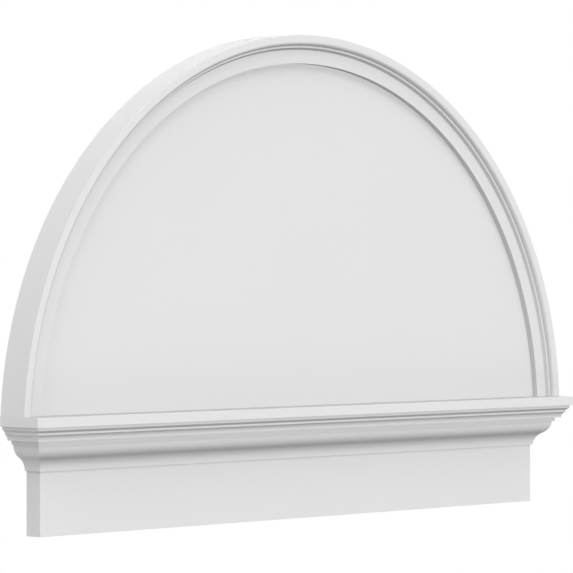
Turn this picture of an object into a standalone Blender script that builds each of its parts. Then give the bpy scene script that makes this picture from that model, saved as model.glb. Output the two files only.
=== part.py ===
# Half round pediment: a frieze board with a mitred crown moulding and a cap board, and on the
# cap a half round panel set inside a bent arch moulding. It is fixed flat to a wall.
#
# Metres, +Z up. The wall is the plane y = 0 and the front faces -Y, so +X is the viewer's
# right. The origin is the point on the wall from which the arch is struck.

import math

import bmesh
import bpy
from mathutils import Vector

JOINT_GAP = 0.0003  # between pieces that touch

# Frieze board
FRIEZE_WIDTH = 0.9652
FRIEZE_THICKNESS = 0.0254
FRIEZE_REVEAL = 0.08255  # bare height below the crown

# Crown moulding, from its foot up. Runs are measured out from the frieze, rises up it.
CROWN_FOOT_RUN = 0.00275
OGEE_RADIUS = 0.01955  # of both curves of the ogee, the hollow and then the round
LOWER_FILLET_RUN = 0.0032
LOWER_FILLET_RISE = 0.0055
SOFFIT_RUN = 0.0065
COVE_RADIUS = 0.0096
MIDDLE_FILLET_RISE = 0.0027
CHAMFER_RUN = 0.0041
CHAMFER_RISE = 0.0030
UPPER_FILLET_RISE = 0.0038
CURVE_SWEEP = math.radians(60)  # of each curve in the ogee and the cove

# Cap board
CAP_THICKNESS = 0.0127
CAP_REVEAL = 0.00355  # from the crown's upper fillet out to the cap's edge

# Arch moulding, from its outer side in. Depths are measured from one level down to the next.
ARCH_CENTRE_DROP = 0.0254  # from the cap's top down to the point where the arch is struck
RIM_DEPTH = 0.04445  # from the wall to the front band
FRONT_BAND_WIDTH = 0.0089
OVOLO_WIDTH = 0.0051
OVOLO_DEPTH = 0.00585
ARCH_FILLET_WIDTH = 0.0028
ARCH_CHAMFER_WIDTH = 0.0024
ARCH_CHAMFER_DEPTH = 0.0045
INNER_BAND_WIDTH = 0.0188

# Tympanum panel
PANEL_THICKNESS = 0.0254

# Facets
ARCH_STEPS = 96  # round half a circle
CURVE_STEPS = 8  # along each curve of a profile
SMOOTH_BELOW = math.radians(25)  # edges flatter than this are shaded smooth

# Places that follow from the sizes above
OGEE_RUN = 2 * OGEE_RADIUS * (1 - math.cos(CURVE_SWEEP))
OGEE_RISE = 2 * OGEE_RADIUS * math.sin(CURVE_SWEEP)
COVE_RUN = COVE_RADIUS * (1 - math.cos(CURVE_SWEEP))
COVE_RISE = COVE_RADIUS * math.sin(CURVE_SWEEP)
CROWN_RUN = CROWN_FOOT_RUN + OGEE_RUN + LOWER_FILLET_RUN + SOFFIT_RUN + COVE_RUN + CHAMFER_RUN
CROWN_RISE = (
    OGEE_RISE + LOWER_FILLET_RISE + COVE_RISE + MIDDLE_FILLET_RISE + CHAMFER_RISE + UPPER_FILLET_RISE
)
CAP_TOP = ARCH_CENTRE_DROP
CAP_UNDERSIDE = CAP_TOP - CAP_THICKNESS
CROWN_FOOT = CAP_UNDERSIDE - CROWN_RISE
FRIEZE_UNDERSIDE = CROWN_FOOT - FRIEZE_REVEAL
TRIM_TOP = CAP_UNDERSIDE - JOINT_GAP  # of the frieze and the crown, under the cap
ARCH_FOOT = CAP_TOP + JOINT_GAP
CAP_WIDTH = FRIEZE_WIDTH + 2 * (CROWN_RUN + CAP_REVEAL)
CAP_DEPTH = FRIEZE_THICKNESS + CROWN_RUN + CAP_REVEAL
ARCH_RADIUS = CAP_WIDTH / 2  # its outer side is flush with the cap's ends
ARCH_INNER_RADIUS = ARCH_RADIUS - (
    FRONT_BAND_WIDTH + OVOLO_WIDTH + ARCH_FILLET_WIDTH + ARCH_CHAMFER_WIDTH + INNER_BAND_WIDTH
)
PANEL_RADIUS = ARCH_INNER_RADIUS - JOINT_GAP


def clear_scene():
    for obj in list(bpy.data.objects):
        bpy.data.objects.remove(obj, do_unlink=True)


def painted_pvc(name, colour, roughness):
    """White satin paint on cellular PVC."""
    material = bpy.data.materials.new(name)
    material.use_nodes = True
    shader = material.node_tree.nodes["Principled BSDF"]
    shader.inputs["Base Color"].default_value = (*colour, 1.0)
    shader.inputs["Roughness"].default_value = roughness
    shader.inputs["Metallic"].default_value = 0.0
    return material


def arc(centre, radius, start, sweep):
    """Points along an arc, in the plane of a profile, its two ends included."""
    angles = [start + sweep * i / CURVE_STEPS for i in range(CURVE_STEPS + 1)]
    return [(centre[0] + radius * math.cos(a), centre[1] + radius * math.sin(a)) for a in angles]


def crown_profile():
    """(run, rise) points round the crown's section, from the foot at the frieze up its face."""
    run = CROWN_FOOT_RUN
    rise = 0.0
    points = [(JOINT_GAP, rise)]
    # The hollow and the round of the ogee are struck from points at one another's tangents.
    points += arc((run + OGEE_RADIUS, rise), OGEE_RADIUS, math.pi, -CURVE_SWEEP)
    run += OGEE_RUN
    rise += OGEE_RISE
    points += arc((run - OGEE_RADIUS, rise), OGEE_RADIUS, -CURVE_SWEEP, CURVE_SWEEP)[1:]
    run += LOWER_FILLET_RUN
    points.append((run, rise))
    rise += LOWER_FILLET_RISE
    points.append((run, rise))
    run += SOFFIT_RUN
    points += arc((run + COVE_RADIUS, rise), COVE_RADIUS, math.pi, -CURVE_SWEEP)
    run += COVE_RUN
    rise += COVE_RISE + MIDDLE_FILLET_RISE
    points.append((run, rise))
    run += CHAMFER_RUN
    rise += CHAMFER_RISE
    points.append((run, rise))
    top = TRIM_TOP - CROWN_FOOT
    points += [(run, top), (JOINT_GAP, top)]
    return points


def arch_profile():
    """(radius, depth from the wall) points round the arch moulding's section."""
    radius = ARCH_RADIUS
    depth = RIM_DEPTH
    points = [(radius, 0.0), (radius, depth)]
    radius -= FRONT_BAND_WIDTH
    # The ovolo is a quarter of an ellipse that leaves the front band level.
    for i in range(CURVE_STEPS + 1):
        turn = math.pi / 2 * i / CURVE_STEPS
        points.append((
            radius - OVOLO_WIDTH * math.sin(turn),
            depth - OVOLO_DEPTH * (1 - math.cos(turn)),
        ))
    radius -= OVOLO_WIDTH + ARCH_FILLET_WIDTH
    depth -= OVOLO_DEPTH
    points.append((radius, depth))
    radius -= ARCH_CHAMFER_WIDTH
    depth -= ARCH_CHAMFER_DEPTH
    points += [(radius, depth), (ARCH_INNER_RADIUS, depth), (ARCH_INNER_RADIUS, 0.0)]
    return points


def saw(bm, point, waste):
    """Cuts off what lies on the waste side of a plane, and closes the cut."""
    parts = bm.verts[:] + bm.edges[:] + bm.faces[:]
    cut = bmesh.ops.bisect_plane(bm, geom=parts, plane_co=point, plane_no=waste, clear_outer=True)
    edges = [part for part in cut["geom_cut"] if isinstance(part, bmesh.types.BMEdge)]
    bmesh.ops.holes_fill(bm, edges=edges, sides=0)


def place(name, bm, material, location, turn=0.0):
    """Makes the piece an object, turned about Z and set at its place."""
    bmesh.ops.recalc_face_normals(bm, faces=bm.faces[:])
    mesh = bpy.data.meshes.new(name)
    bm.to_mesh(mesh)
    bm.free()
    mesh.materials.append(material)
    mesh.shade_smooth()
    mesh.set_sharp_from_angle(angle=SMOOTH_BELOW)
    obj = bpy.data.objects.new(name, mesh)
    obj.location = location
    obj.rotation_euler = (0.0, 0.0, turn)
    obj.parent = pediment
    collection.objects.link(obj)
    return obj


def board(name, width, depth, height, underside, material):
    """A flat board with its back on the wall."""
    bm = bmesh.new()
    bmesh.ops.create_cube(bm, size=1.0)
    bmesh.ops.scale(bm, verts=bm.verts[:], vec=(width, depth, height))
    place(name, bm, material, (0.0, -depth / 2, underside + height / 2))


def crown_length(name, start, end, mitres, location, turn, material):
    """A length of crown along X with its face to -Y. start and end are the frieze's corners, or the
    wall, and mitres says which of the two ends is cut at 45 degrees round a corner."""
    first = start - CROWN_RUN if mitres[0] else start
    last = end + CROWN_RUN if mitres[1] else end
    bm = bmesh.new()
    section = bm.faces.new([bm.verts.new((first, -run, rise)) for run, rise in crown_profile()])
    swept = bmesh.ops.extrude_face_region(bm, geom=[section])
    moved = [part for part in swept["geom"] if isinstance(part, bmesh.types.BMVert)]
    bmesh.ops.translate(bm, verts=moved, vec=(last - first, 0.0, 0.0))
    for corner, side, mitred in ((start, -1, mitres[0]), (end, 1, mitres[1])):
        if mitred:
            waste = Vector((side, 1.0, 0.0)).normalized()
            saw(bm, Vector((corner, 0.0, 0.0)) - waste * JOINT_GAP / 2, waste)
    place(name, bm, material, location, turn)


def make_frieze_board(material):
    height = TRIM_TOP - FRIEZE_UNDERSIDE
    board("frieze_board", FRIEZE_WIDTH, FRIEZE_THICKNESS, height, FRIEZE_UNDERSIDE, material)


def make_crown(material):
    half = FRIEZE_WIDTH / 2
    front = (0.0, -FRIEZE_THICKNESS, CROWN_FOOT)
    crown_length("crown_front", -half, half, (True, True), front, 0.0, material)
    left = (-half, 0.0, CROWN_FOOT)
    quarter = math.pi / 2
    crown_length("crown_return_left", 0.0, FRIEZE_THICKNESS, (False, True), left, -quarter, material)
    right = (half, 0.0, CROWN_FOOT)
    crown_length("crown_return_right", -FRIEZE_THICKNESS, 0.0, (True, False), right, quarter, material)


def make_cap_board(material):
    board("cap_board", CAP_WIDTH, CAP_DEPTH, CAP_THICKNESS, CAP_UNDERSIDE, material)


def make_tympanum_panel(material):
    """A disc cut flat where it stands on the cap."""
    bm = bmesh.new()
    bmesh.ops.create_cone(
        bm,
        cap_ends=True,
        segments=2 * ARCH_STEPS,
        radius1=PANEL_RADIUS,
        radius2=PANEL_RADIUS,
        depth=PANEL_THICKNESS,
    )
    upright = Vector((0.0, 0.0, 1.0)).rotation_difference(Vector((0.0, -1.0, 0.0)))
    bmesh.ops.rotate(bm, verts=bm.verts[:], matrix=upright.to_matrix())
    bmesh.ops.translate(bm, verts=bm.verts[:], vec=(0.0, -PANEL_THICKNESS / 2, 0.0))
    saw(bm, (0.0, 0.0, ARCH_FOOT), (0.0, 0.0, -1.0))
    place("tympanum_panel", bm, material, (0.0, 0.0, 0.0))


def make_arch_moulding(material):
    """The section spun round half a circle, and both feet cut flat where they stand on the cap."""
    bm = bmesh.new()
    section = bm.faces.new([bm.verts.new((radius, -depth, 0.0)) for radius, depth in arch_profile()])
    bmesh.ops.spin(
        bm,
        geom=[section, *section.edges, *section.verts],
        cent=(0.0, 0.0, 0.0),
        axis=(0.0, -1.0, 0.0),
        angle=math.pi,
        steps=ARCH_STEPS,
    )
    saw(bm, (0.0, 0.0, ARCH_FOOT), (0.0, 0.0, -1.0))
    place("arch_moulding", bm, material, (0.0, 0.0, 0.0))


clear_scene()
collection = bpy.data.collections.new("Half round pediment")
bpy.context.scene.collection.children.link(collection)
pediment = bpy.data.objects.new("pediment", None)
collection.objects.link(pediment)

make_frieze_board(painted_pvc("Frieze board paint", (0.86, 0.86, 0.86), 0.50))
make_crown(painted_pvc("Crown paint", (0.87, 0.87, 0.87), 0.45))
make_cap_board(painted_pvc("Cap board paint", (0.86, 0.86, 0.86), 0.50))
make_tympanum_panel(painted_pvc("Tympanum panel paint", (0.86, 0.86, 0.86), 0.55))
make_arch_moulding(painted_pvc("Arch moulding paint", (0.87, 0.87, 0.87), 0.45))
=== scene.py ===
# Half round pediment to fix over a door or window: painted cellular PVC board and moulding.
# Metres, +Z up. The wall is y = 0 and the front faces -Y, so +X is the viewer's right. The
# origin is the point on the wall from which the arch is struck.
import math

import bmesh
import bpy
from mathutils import Matrix, Vector


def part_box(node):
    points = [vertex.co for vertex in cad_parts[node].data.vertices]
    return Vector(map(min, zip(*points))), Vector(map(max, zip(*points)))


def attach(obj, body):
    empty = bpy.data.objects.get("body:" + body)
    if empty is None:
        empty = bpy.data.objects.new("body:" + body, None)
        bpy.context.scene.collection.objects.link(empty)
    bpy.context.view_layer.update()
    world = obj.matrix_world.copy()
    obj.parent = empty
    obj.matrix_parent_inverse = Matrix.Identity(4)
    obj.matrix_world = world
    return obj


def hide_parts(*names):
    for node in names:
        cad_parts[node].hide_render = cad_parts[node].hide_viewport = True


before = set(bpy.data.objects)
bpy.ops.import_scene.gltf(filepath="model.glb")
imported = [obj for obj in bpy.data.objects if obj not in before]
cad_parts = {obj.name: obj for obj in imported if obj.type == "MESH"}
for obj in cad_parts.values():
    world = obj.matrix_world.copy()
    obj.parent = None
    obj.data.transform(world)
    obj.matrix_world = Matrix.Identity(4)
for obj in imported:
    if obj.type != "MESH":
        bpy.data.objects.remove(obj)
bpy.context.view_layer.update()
print("frame loaded:", ", ".join(sorted(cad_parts)))

mm = 0.001
contact = 0.05 * mm             # left between pieces that touch, too fine to see
creaseAngle = math.radians(32)  # edges that turn more than this stay sharp
easedSteps = 4                  # facets round an eased corner of a moulding
easedShare = 0.45               # the most of a side that the easing of one end takes


def linearColour(hexCode):
    channels = [int(hexCode[i:i + 2], 16) / 255 for i in (0, 2, 4)]
    linear = [c / 12.92 if c <= 0.04045 else ((c + 0.055) / 1.055) ** 2.4 for c in channels]
    return (*linear, 1.0)


# Adds a node, sets its sockets or settings by name, and links sockets to its inputs. A socket
# whose name repeats on the node goes by its number.
def addNode(tree, kind, settings=None, links=None):
    node = tree.nodes.new(kind)
    for key, value in (settings or {}).items():
        if isinstance(key, int) or key in node.inputs:
            node.inputs[key].default_value = value
        else:
            setattr(node, key, value)
    for key, socket in (links or {}).items():
        tree.links.new(socket, node.inputs[key])
    return node


# Rounds the corners of a closed outline. Each corner is (across, up, radius), and a radius of
# nothing leaves it as it is, such as a step along a curve.
def easedOutline(corners):
    outline = []
    for i, (across, up, radius) in enumerate(corners):
        corner = Vector((across, up))
        if not radius:
            outline.append(corner)
            continue
        back = Vector(corners[i - 1][:2]) - corner
        ahead = Vector(corners[(i + 1) % len(corners)][:2]) - corner
        turn = math.pi - back.angle(ahead)
        longest = easedShare * min(back.length, ahead.length)
        cutBack = min(radius * math.tan(turn / 2), longest)
        radius = cutBack / math.tan(turn / 2)
        middle = (back.normalized() + ahead.normalized()).normalized()
        centre = corner + middle * (radius / math.cos(turn / 2))
        spoke = corner + back.normalized() * cutBack - centre
        side = 1 if back.cross(ahead) < 0 else -1
        for k in range(easedSteps + 1):
            outline.append(centre + Matrix.Rotation(side * turn * k / easedSteps, 2) @ spoke)
    return outline


# Points along an arc, without its first point, as corners that aren't rounded.
def arcSteps(centre, radius, start, sweep, steps):
    angles = [start + sweep * (k + 1) / steps for k in range(steps)]
    return [(centre[0] + radius * math.cos(a), centre[1] + radius * math.sin(a), 0) for a in angles]


def finishPiece(name, bm, material, nodes):
    bmesh.ops.recalc_face_normals(bm, faces=bm.faces[:])
    mesh = bpy.data.meshes.new(name)
    bm.to_mesh(mesh)
    bm.free()
    mesh.materials.append(material)
    mesh.shade_smooth()
    mesh.set_sharp_from_angle(angle=creaseAngle)
    piece = bpy.data.objects.new(name, mesh)
    bpy.context.scene.collection.objects.link(piece)
    weighted = piece.modifiers.new("flatFaces", "WEIGHTED_NORMAL")  # keeps the flats flat beside
    weighted.keep_sharp = True                                      # their rounded edges
    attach(piece, "root")
    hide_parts(*nodes)
    print(f"{name}: {len(mesh.polygons)} faces")
    return piece


# The paint's pattern: how many finer sizes each noise adds, and how far those count.
roller = {"lapDetail": 2.0, "lapRaggedness": 0.4, "stippleDetail": 3.0, "stippleRaggedness": 0.55}
mixSockets = {"share": 0, "first": 6, "second": 7, "result": 2}  # of a Mix node that mixes colours


# Cellular PVC board, planed, then two coats of white acrylic laid on with a foam roller: a dull,
# even white with hardly a sheen, and a stipple that shows only from very near.
def rolledPaint(name, look):
    material = bpy.data.materials.new(name)
    material.use_nodes = True
    tree = material.node_tree
    tree.nodes.clear()
    place = addNode(tree, "ShaderNodeTexCoord")
    laps = addNode(tree, "ShaderNodeTexNoise", {
        "Scale": 1 / look["lapSize"], "Detail": roller["lapDetail"], "Roughness": roller["lapRaggedness"],
    }, {"Vector": place.outputs["Object"]})
    stipple = addNode(tree, "ShaderNodeTexNoise", {
        "Scale": 1 / look["stippleSize"],
        "Detail": roller["stippleDetail"],
        "Roughness": roller["stippleRaggedness"],
    }, {"Vector": place.outputs["Object"]})
    film = addNode(tree, "ShaderNodeMix", {
        "data_type": "RGBA",
        mixSockets["first"]: linearColour(look["thin"]),
        mixSockets["second"]: linearColour(look["full"]),
    }, {mixSockets["share"]: laps.outputs["Fac"]})
    sheen = addNode(tree, "ShaderNodeMapRange", {
        "To Min": look["roughness"][0], "To Max": look["roughness"][1],
    }, {"Value": stipple.outputs["Fac"]})
    relief = addNode(tree, "ShaderNodeBump", {
        "Strength": look["reliefStrength"], "Distance": look["reliefDepth"],
    }, {"Height": stipple.outputs["Fac"]})
    shader = addNode(tree, "ShaderNodeBsdfPrincipled", {"IOR": look["ior"]}, {
        "Base Color": film.outputs[mixSockets["result"]],
        "Roughness": sheen.outputs["Result"],
        "Normal": relief.outputs["Normal"],
    })
    addNode(tree, "ShaderNodeOutputMaterial", {}, {"Surface": shader.outputs["BSDF"]})
    return material


boardPaint = rolledPaint("matt painted cellular PVC board", {
    "thin": "E6E6E6", "full": "E8E8E8",   # where the roller's laps left the film thin and full
    "lapSize": 160 * mm,                  # a small roller's width
    "stippleSize": 1.6 * mm,
    "reliefStrength": 0.10, "reliefDepth": 0.02 * mm,
    "roughness": (0.50, 0.58),
    "ior": 1.48,                          # acrylic paint
})

# The mouldings are milled smoother and have a satin paint, so they have a little more sheen and
# a finer, shallower stipple than the boards.
mouldingPaint = rolledPaint("satin painted cellular PVC moulding", {
    "thin": "E7E7E7", "full": "E9E9E9",
    "lapSize": 240 * mm,
    "stippleSize": 1.2 * mm,
    "reliefStrength": 0.06, "reliefDepth": 0.015 * mm,
    "roughness": (0.44, 0.50),
    "ior": 1.48,
})
print("materials made")


# Frieze board and cap board

board = {
    "arris": 0.2 * mm,
    "arrisSteps": 3,
    "arrisProfile": 0.5,  # round
}


def makeBoard(name, low, high, node):
    bm = bmesh.new()
    bmesh.ops.create_cube(bm, size=1.0)
    bmesh.ops.scale(bm, verts=bm.verts[:], vec=high - low)
    bmesh.ops.translate(bm, verts=bm.verts[:], vec=(low + high) / 2)
    bmesh.ops.bevel(bm, geom=bm.edges[:], offset=board["arris"], segments=board["arrisSteps"],
                    profile=board["arrisProfile"], affect="EDGES")
    return finishPiece(name, bm, boardPaint, [node])


capLow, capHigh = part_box("cap_board")
friezeLow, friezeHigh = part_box("frieze_board")
friezeHigh.z = capLow.z - contact
makeBoard("friezeBoard", friezeLow, friezeHigh, "frieze_board")
makeBoard("capBoard", capLow, capHigh, "cap_board")


# Crown moulding, mitred round the frieze's two corners and painted over as one

crown = {
    "footRun": 2.75 * mm,          # runs stand out from the frieze, rises go up it
    "ogeeRadius": 19.55 * mm,      # of both its curves, the hollow and then the round
    "lowerFilletRun": 3.2 * mm,
    "lowerFilletRise": 5.5 * mm,
    "soffitRun": 6.5 * mm,
    "coveRadius": 9.6 * mm,
    "middleFilletRise": 2.7 * mm,
    "chamferRun": 4.1 * mm,
    "chamferRise": 3.0 * mm,
    "curveSweep": math.radians(60),
    "arris": 0.2 * mm,             # on the edges that stand out
    "hollow": 0.2 * mm,            # paint in the inner corners
    "ogeeSteps": 20,
    "coveSteps": 14,
}


def crownSection():
    arris, hollow = crown["arris"], crown["hollow"]
    ogee, cove, sweep = crown["ogeeRadius"], crown["coveRadius"], crown["curveSweep"]
    run, rise = crown["footRun"], 0.0
    corners = [(contact, rise, 0), (run, rise, arris)]
    corners += arcSteps((run + ogee, rise), ogee, math.pi, -sweep, crown["ogeeSteps"])
    run += 2 * ogee * (1 - math.cos(sweep))
    rise += 2 * ogee * math.sin(sweep)
    corners += arcSteps((run - ogee, rise), ogee, -sweep, sweep, crown["ogeeSteps"])
    corners[-1] = (run, rise, hollow)
    run += crown["lowerFilletRun"]
    corners.append((run, rise, arris))
    rise += crown["lowerFilletRise"]
    corners.append((run, rise, hollow))
    run += crown["soffitRun"]
    corners.append((run, rise, arris))
    corners += arcSteps((run + cove, rise), cove, math.pi, -sweep, crown["coveSteps"])
    run += cove * (1 - math.cos(sweep))
    rise += cove * math.sin(sweep)
    corners[-1] = (run, rise, arris)
    rise += crown["middleFilletRise"]
    corners.append((run, rise, hollow))
    run += crown["chamferRun"]
    rise += crown["chamferRise"]
    corners.append((run, rise, arris))
    top = capLow.z - contact - crownFoot
    corners += [(run, top, 0), (contact, top, 0)]
    return easedOutline(corners)


# Carries the section round the frieze from wall to wall. At a corner the rings fan round the
# arris that the mitre makes.
def makeCrown():
    section = crownSection()
    left, right, face = friezeLow.x, friezeHigh.x, friezeLow.y
    arris = crown["arris"]
    rings = [[(left - run, 0.0, rise) for run, rise in section]]
    for side, corner in ((-1, left), (1, right)):
        fan = []
        for k in range(easedSteps + 1):
            turn = math.pi / 2 * k / easedSteps
            fan.append([(
                corner + side * (run - arris + arris * math.cos(turn)),
                face - (run - arris + arris * math.sin(turn)),
                rise,
            ) for run, rise in section])
        rings += fan if side < 0 else fan[::-1]
    rings.append([(right + run, 0.0, rise) for run, rise in section])
    bm = bmesh.new()
    rows = [[bm.verts.new((x, y, crownFoot + z)) for x, y, z in ring] for ring in rings]
    count = len(section)
    for here, there in zip(rows, rows[1:]):
        for i in range(count):
            j = (i + 1) % count
            bm.faces.new((here[i], here[j], there[j], there[i]))
    bm.faces.new(rows[0])
    bm.faces.new(rows[-1])
    nodes = ["crown_front", "crown_return_left", "crown_return_right"]
    return finishPiece("crownMoulding", bm, mouldingPaint, nodes)


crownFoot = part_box("crown_front")[0].z
makeCrown()


# Arch moulding, and the tympanum panel inside it

archLow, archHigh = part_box("arch_moulding")
archFoot = capHigh.z + contact
archRadius = archHigh.z  # struck from the origin
roundSteps = 288         # facets round half a circle


def cutAtFoot(bm):
    parts = bm.verts[:] + bm.edges[:] + bm.faces[:]
    cut = bmesh.ops.bisect_plane(bm, geom=parts, plane_co=(0, 0, archFoot), plane_no=(0, 0, -1),
                                 clear_outer=True)
    edges = [part for part in cut["geom_cut"] if isinstance(part, bmesh.types.BMEdge)]
    bmesh.ops.holes_fill(bm, edges=edges, sides=0)


arch = {
    "frontBand": 8.9 * mm,         # widths, from its outer side in
    "ovoloWidth": 5.1 * mm,
    "filletWidth": 2.8 * mm,
    "chamferWidth": 2.4 * mm,
    "innerBand": 18.8 * mm,
    "ovoloDepth": 5.85 * mm,       # depths, from one level down to the next
    "chamferDepth": 4.5 * mm,
    "arris": 0.2 * mm,             # on the edges that stand out
    "hollow": 0.2 * mm,            # paint in the inner corners
    "ovoloSteps": 12,
}
archInner = archRadius - sum(arch[width] for width in (
    "frontBand", "ovoloWidth", "filletWidth", "chamferWidth", "innerBand"))


def archSection():
    arris, hollow = arch["arris"], arch["hollow"]
    depth = -archLow.y
    radius = archRadius
    corners = [(radius, 0.0, arris), (radius, depth, arris)]
    radius -= arch["frontBand"]
    corners.append((radius, depth, 0))
    for k in range(1, arch["ovoloSteps"] + 1):  # a quarter of an ellipse, level where it starts
        turn = math.pi / 2 * k / arch["ovoloSteps"]
        corners.append((radius - arch["ovoloWidth"] * math.sin(turn),
                        depth - arch["ovoloDepth"] * (1 - math.cos(turn)), 0))
    radius -= arch["ovoloWidth"]
    depth -= arch["ovoloDepth"]
    corners[-1] = (radius, depth, hollow)
    radius -= arch["filletWidth"]
    corners.append((radius, depth, arris))
    radius -= arch["chamferWidth"]
    depth -= arch["chamferDepth"]
    corners.append((radius, depth, hollow))
    corners += [(archInner, depth, arris), (archInner, 0.0, 0)]
    return easedOutline(corners)


def makeArch():
    bm = bmesh.new()
    section = bm.faces.new([bm.verts.new((radius, -depth, 0.0)) for radius, depth in archSection()])
    bmesh.ops.spin(bm, geom=[section, *section.edges, *section.verts], cent=(0, 0, 0),
                   axis=(0, -1, 0), angle=math.pi, steps=roundSteps)
    cutAtFoot(bm)
    return finishPiece("archMoulding", bm, mouldingPaint, ["arch_moulding"])


def makePanel():
    depth = -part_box("tympanum_panel")[0].y
    radius = archInner - contact
    bm = bmesh.new()
    turns = [math.pi * k / roundSteps for k in range(roundSteps + 1)]
    rim = [bm.verts.new((radius * math.cos(turn), 0.0, radius * math.sin(turn))) for turn in turns]
    swept = bmesh.ops.extrude_face_region(bm, geom=[bm.faces.new(rim)])
    moved = [part for part in swept["geom"] if isinstance(part, bmesh.types.BMVert)]
    bmesh.ops.translate(bm, verts=moved, vec=(0, -depth, 0))
    cutAtFoot(bm)
    return finishPiece("tympanumPanel", bm, boardPaint, ["tympanum_panel"])


makePanel()
makeArch()


# Floor, light and camera

floorPaper = {
    "radius": 2.4,
    "sides": 96,
    "place": (0, -0.6, -0.55),
    "white": "F4F4F4",
    "roughness": 0.9,
}


# Matt white paper, as a studio rolls out, which shows an even white with no sheen.
def makeFloor():
    bm = bmesh.new()
    bmesh.ops.create_circle(bm, cap_ends=True, segments=floorPaper["sides"],
                            radius=floorPaper["radius"])
    mesh = bpy.data.meshes.new("floor")
    bm.to_mesh(mesh)
    bm.free()
    floor = bpy.data.objects.new("floor", mesh)
    floor.location = floorPaper["place"]
    material = bpy.data.materials.new("white paper floor")
    material.use_nodes = True
    shader = material.node_tree.nodes["Principled BSDF"]
    shader.inputs["Base Color"].default_value = linearColour(floorPaper["white"])
    shader.inputs["Roughness"].default_value = floorPaper["roughness"]
    mesh.materials.append(material)
    bpy.context.scene.collection.objects.link(floor)
    floor.visible_diffuse = False  # it throws no light up and lets the low lamps through
    floor.visible_glossy = False
    floor.visible_shadow = False


# Soft lamps far off, as azimuth from the front, elevation, width in degrees and strength. The light
# of the direct ones stops where it falls, and the fill goes through what would shade it, because in
# the photograph few hollows glow and no line under a moulding is black.
lamps = {
    "frontLamp": (0, 36, 24, 0.485, "direct"),
    "highLeftLamp": (-45, 60, 50, 1.145, "direct"),
    "highRightLamp": (45, 60, 50, 0.351, "direct"),
    "leftLamp": (-90, 30, 50, 0.759, "direct"),
    "backRightLamp": (135, 30, 50, 0.591, "direct"),
    "backLamp": (180, 30, 50, 0.467, "direct"),
    "lowBackLamp": (180, -30, 50, 0.338, "direct"),
    "floorBounce": (0, -60, 50, 0.311, "bounced"),
    "frontRightFill": (30, 30, 30, 1.675, "fill"),
    "lowFrontRightFill": (30, -30, 30, 0.563, "fill"),
    "frontLeftFill": (-60, 0, 30, 0.476, "fill"),
    "lowLeftFill": (-90, -30, 30, 0.651, "fill"),
    "backLeftFill": (-135, 0, 30, 0.272, "fill"),
}


def makeLights():
    for name, (azimuth, elevation, width, strength, kind) in lamps.items():
        lamp = bpy.data.lights.new(name, "SUN")
        lamp.energy = strength
        lamp.angle = math.radians(width)
        lamp.use_shadow = kind != "fill"
        if kind != "bounced":
            lamp.cycles.max_bounces = 0
            lamp.cycles.use_multiple_importance_sampling = False
        around, above = math.radians(azimuth), math.radians(elevation)
        source = Vector((
            math.sin(around) * math.cos(above),
            -math.cos(around) * math.cos(above),
            math.sin(above),
        ))
        obj = bpy.data.objects.new(name, lamp)
        obj.rotation_euler = (-source).to_track_quat("-Z", "Y").to_euler()
        bpy.context.scene.collection.objects.link(obj)


# White behind the part for the camera alone. The lamps give all the light.
def makeBackdrop():
    world = bpy.data.worlds.new("white studio")
    world.use_nodes = True
    tree = world.node_tree
    tree.nodes.clear()
    rays = addNode(tree, "ShaderNodeLightPath")
    unlit = addNode(tree, "ShaderNodeBackground", {"Color": (1, 1, 1, 1), "Strength": 0.0})
    backdrop = addNode(tree, "ShaderNodeBackground", {"Color": (1, 1, 1, 1), "Strength": 1.0})
    mixed = addNode(tree, "ShaderNodeMixShader", {}, {
        0: rays.outputs["Is Camera Ray"], 1: unlit.outputs[0], 2: backdrop.outputs[0],
    })
    addNode(tree, "ShaderNodeOutputWorld", {}, {"Surface": mixed.outputs[0]})
    bpy.context.scene.world = world


view = {
    "sensorWidth": 36,                       # mm, as the lens
    "lens": 218.38,
    "place": (-3.43565, -3.26288, 0.20558),
    "turn": math.radians(-46.425),           # from straight at the wall, on a level camera
    "shift": -0.02384,                       # down, as a share of the picture's width
}


def makeCamera():
    camera = bpy.data.objects.new("camera", bpy.data.cameras.new("camera"))
    camera.data.sensor_width = view["sensorWidth"]
    camera.data.lens = view["lens"]
    camera.data.shift_y = view["shift"]
    camera.location = view["place"]
    camera.rotation_euler = (math.pi / 2, 0, view["turn"])
    bpy.context.scene.collection.objects.link(camera)
    bpy.context.scene.camera = camera


makeFloor()
makeLights()
makeBackdrop()
makeCamera()
bpy.context.scene.view_settings.view_transform = "Standard"
print("floor, lights and camera made")
